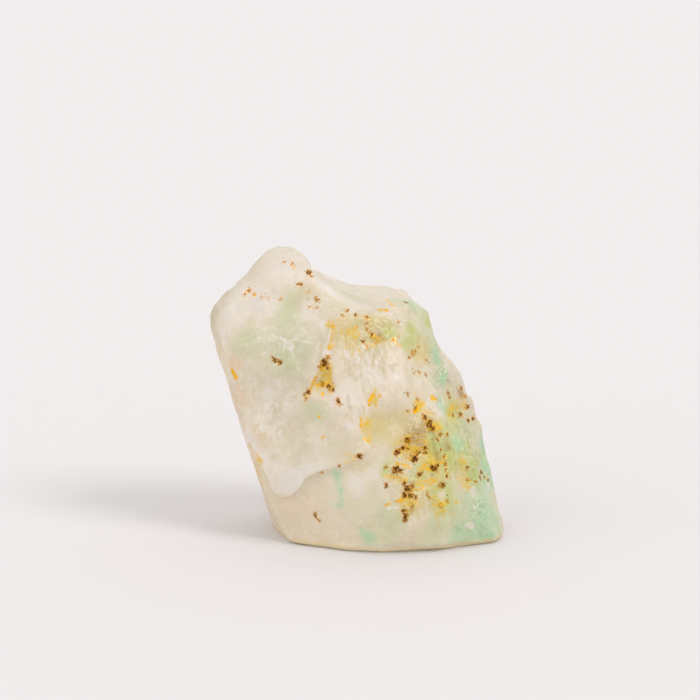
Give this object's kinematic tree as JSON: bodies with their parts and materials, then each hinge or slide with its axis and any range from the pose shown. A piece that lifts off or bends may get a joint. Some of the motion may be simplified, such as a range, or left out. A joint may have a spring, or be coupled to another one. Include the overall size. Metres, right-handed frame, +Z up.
{
  "type": "raw fluorite",
  "caption": "Rough cleaved lump of milky green fluorite with a flat broken base, a knob at the top, stepped faces and brown iron specks.",
  "frame": {"origin": "on the flat base where the lump stands, under its middle", "axes": "+Z up out of the base, +Y away from the viewer of the front face, +X to the viewer's right"},
  "size_m": [0.0416, 0.0253, 0.0412],
  "materials": {
    "fluorite": "rough translucent milky cleavage"
  },
  "bodies": {
    "root": {"fluorite_lump": "fluorite"}
  },
  "joints": []
}
